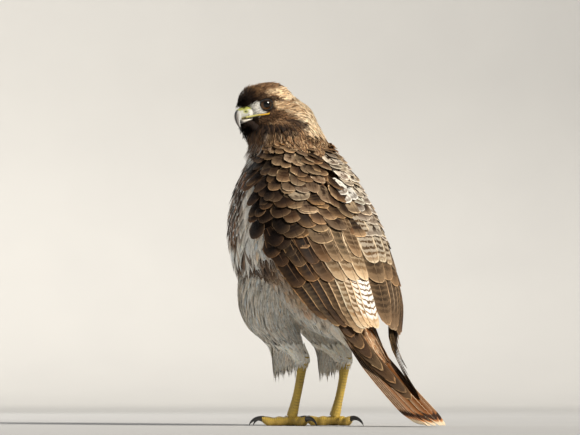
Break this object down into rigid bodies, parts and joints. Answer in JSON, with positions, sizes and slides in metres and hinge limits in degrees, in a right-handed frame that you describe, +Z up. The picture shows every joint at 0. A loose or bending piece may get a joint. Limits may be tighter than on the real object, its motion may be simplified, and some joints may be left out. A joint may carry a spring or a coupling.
{
  "type": "red-tailed hawk",
  "caption": "Life-size still model of a red-tailed hawk standing with folded wings and its head turned over its left shoulder.",
  "frame": {"origin": "middle of the bounding box, on the floor that the feet stand on", "axes": "+Z up, the body faces -Y and its left side is +X; the head looks towards +X"},
  "size_m": [0.2048, 0.3246, 0.4361],
  "materials": {
    "bill_lower": "slate horn",
    "bill_upper": "slate horn with a black tip",
    "cere": "yellow-green bare skin",
    "claw_left_hind": "black horn",
    "claw_left_inner": "black horn",
    "claw_left_middle": "black horn",
    "claw_left_outer": "black horn",
    "claw_right_hind": "black horn",
    "claw_right_inner": "black horn",
    "claw_right_middle": "black horn",
    "claw_right_outer": "black horn",
    "eye_left": "wet, dark brown",
    "eye_right": "wet, dark brown",
    "foot_left": "yellow scaly skin",
    "foot_right": "yellow scaly skin",
    "head": "brown feathers",
    "neck": "brown feathers",
    "shank_left": "yellow scaly skin",
    "shank_right": "yellow scaly skin",
    "tail": "rufous feathers",
    "thigh_left": "white feathers",
    "thigh_right": "white feathers",
    "torso": "brown feathers",
    "wing_left": "brown feathers",
    "wing_right": "brown feathers"
  },
  "bodies": {
    "root": {"bill_lower": "bill_lower", "bill_upper": "bill_upper", "cere": "cere", "claw_left_hind": "claw_left_hind", "claw_left_inner": "claw_left_inner", "claw_left_middle": "claw_left_middle", "claw_left_outer": "claw_left_outer", "claw_right_hind": "claw_right_hind", "claw_right_inner": "claw_right_inner", "claw_right_middle": "claw_right_middle", "claw_right_outer": "claw_right_outer", "eye_left": "eye_left", "eye_right": "eye_right", "foot_left": "foot_left", "foot_right": "foot_right", "head": "head", "neck": "neck", "shank_left": "shank_left", "shank_right": "shank_right", "tail": "tail", "thigh_left": "thigh_left", "thigh_right": "thigh_right", "torso": "torso", "wing_left": "wing_left", "wing_right": "wing_right"}
  },
  "joints": []
}
